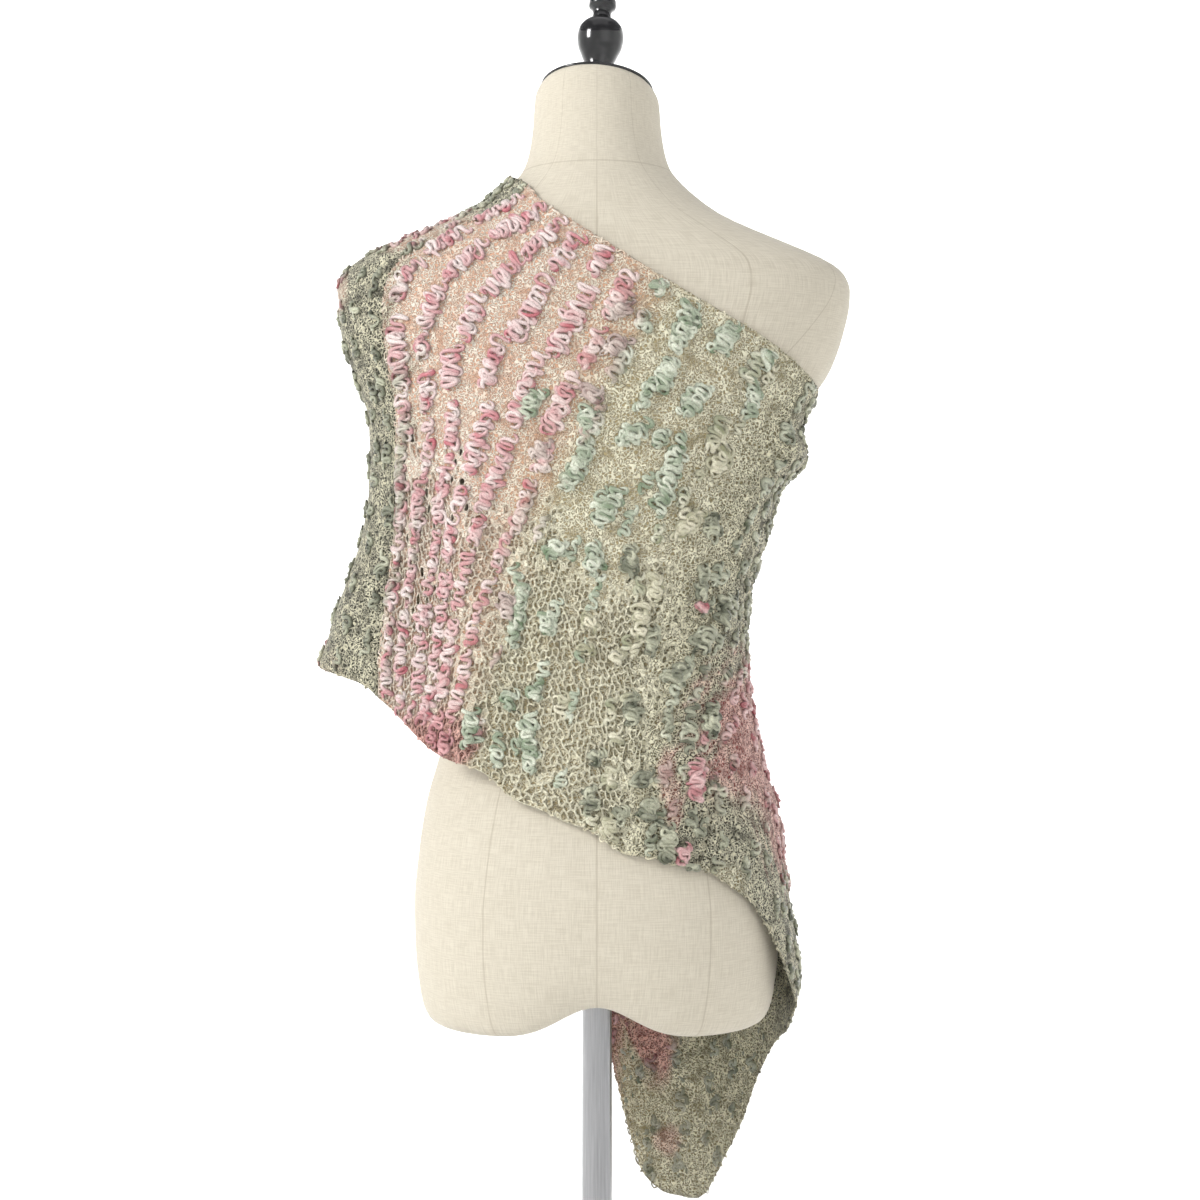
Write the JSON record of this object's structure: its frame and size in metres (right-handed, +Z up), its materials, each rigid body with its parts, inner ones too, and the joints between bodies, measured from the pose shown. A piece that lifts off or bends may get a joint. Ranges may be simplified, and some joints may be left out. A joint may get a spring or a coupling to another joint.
{
  "type": "one-shoulder poncho on a dress form",
  "caption": "Knitted one-shoulder poncho with a long pointed tail, worn on a limbless dress form that stands on a pole and a round base.",
  "frame": {"origin": "middle of the underside of the round base", "axes": "+Z up along the pole, garment front towards -Y, the wearer's left, covered shoulder towards +X"},
  "size_m": [0.4448, 0.3, 1.1676],
  "materials": {
    "back_knit": "thin boucle yarn knit with thick looped slubs, striping from rose through mint to cream and grey-green",
    "front_knit": "thin boucle yarn knit with thick looped slubs, mostly grey-green with rose and cream",
    "linen": "tight plain-weave linen with fine slubs",
    "black_lacquer": "turned wood in glossy black lacquer",
    "grey_steel": "satin brushed steel"
  },
  "bodies": {
    "root": {"back_panel": "back_knit", "front_panel": "front_knit", "form_torso": "linen", "neck_cap": "black_lacquer", "finial": "black_lacquer", "pole": "grey_steel", "base": "grey_steel"}
  },
  "joints": []
}
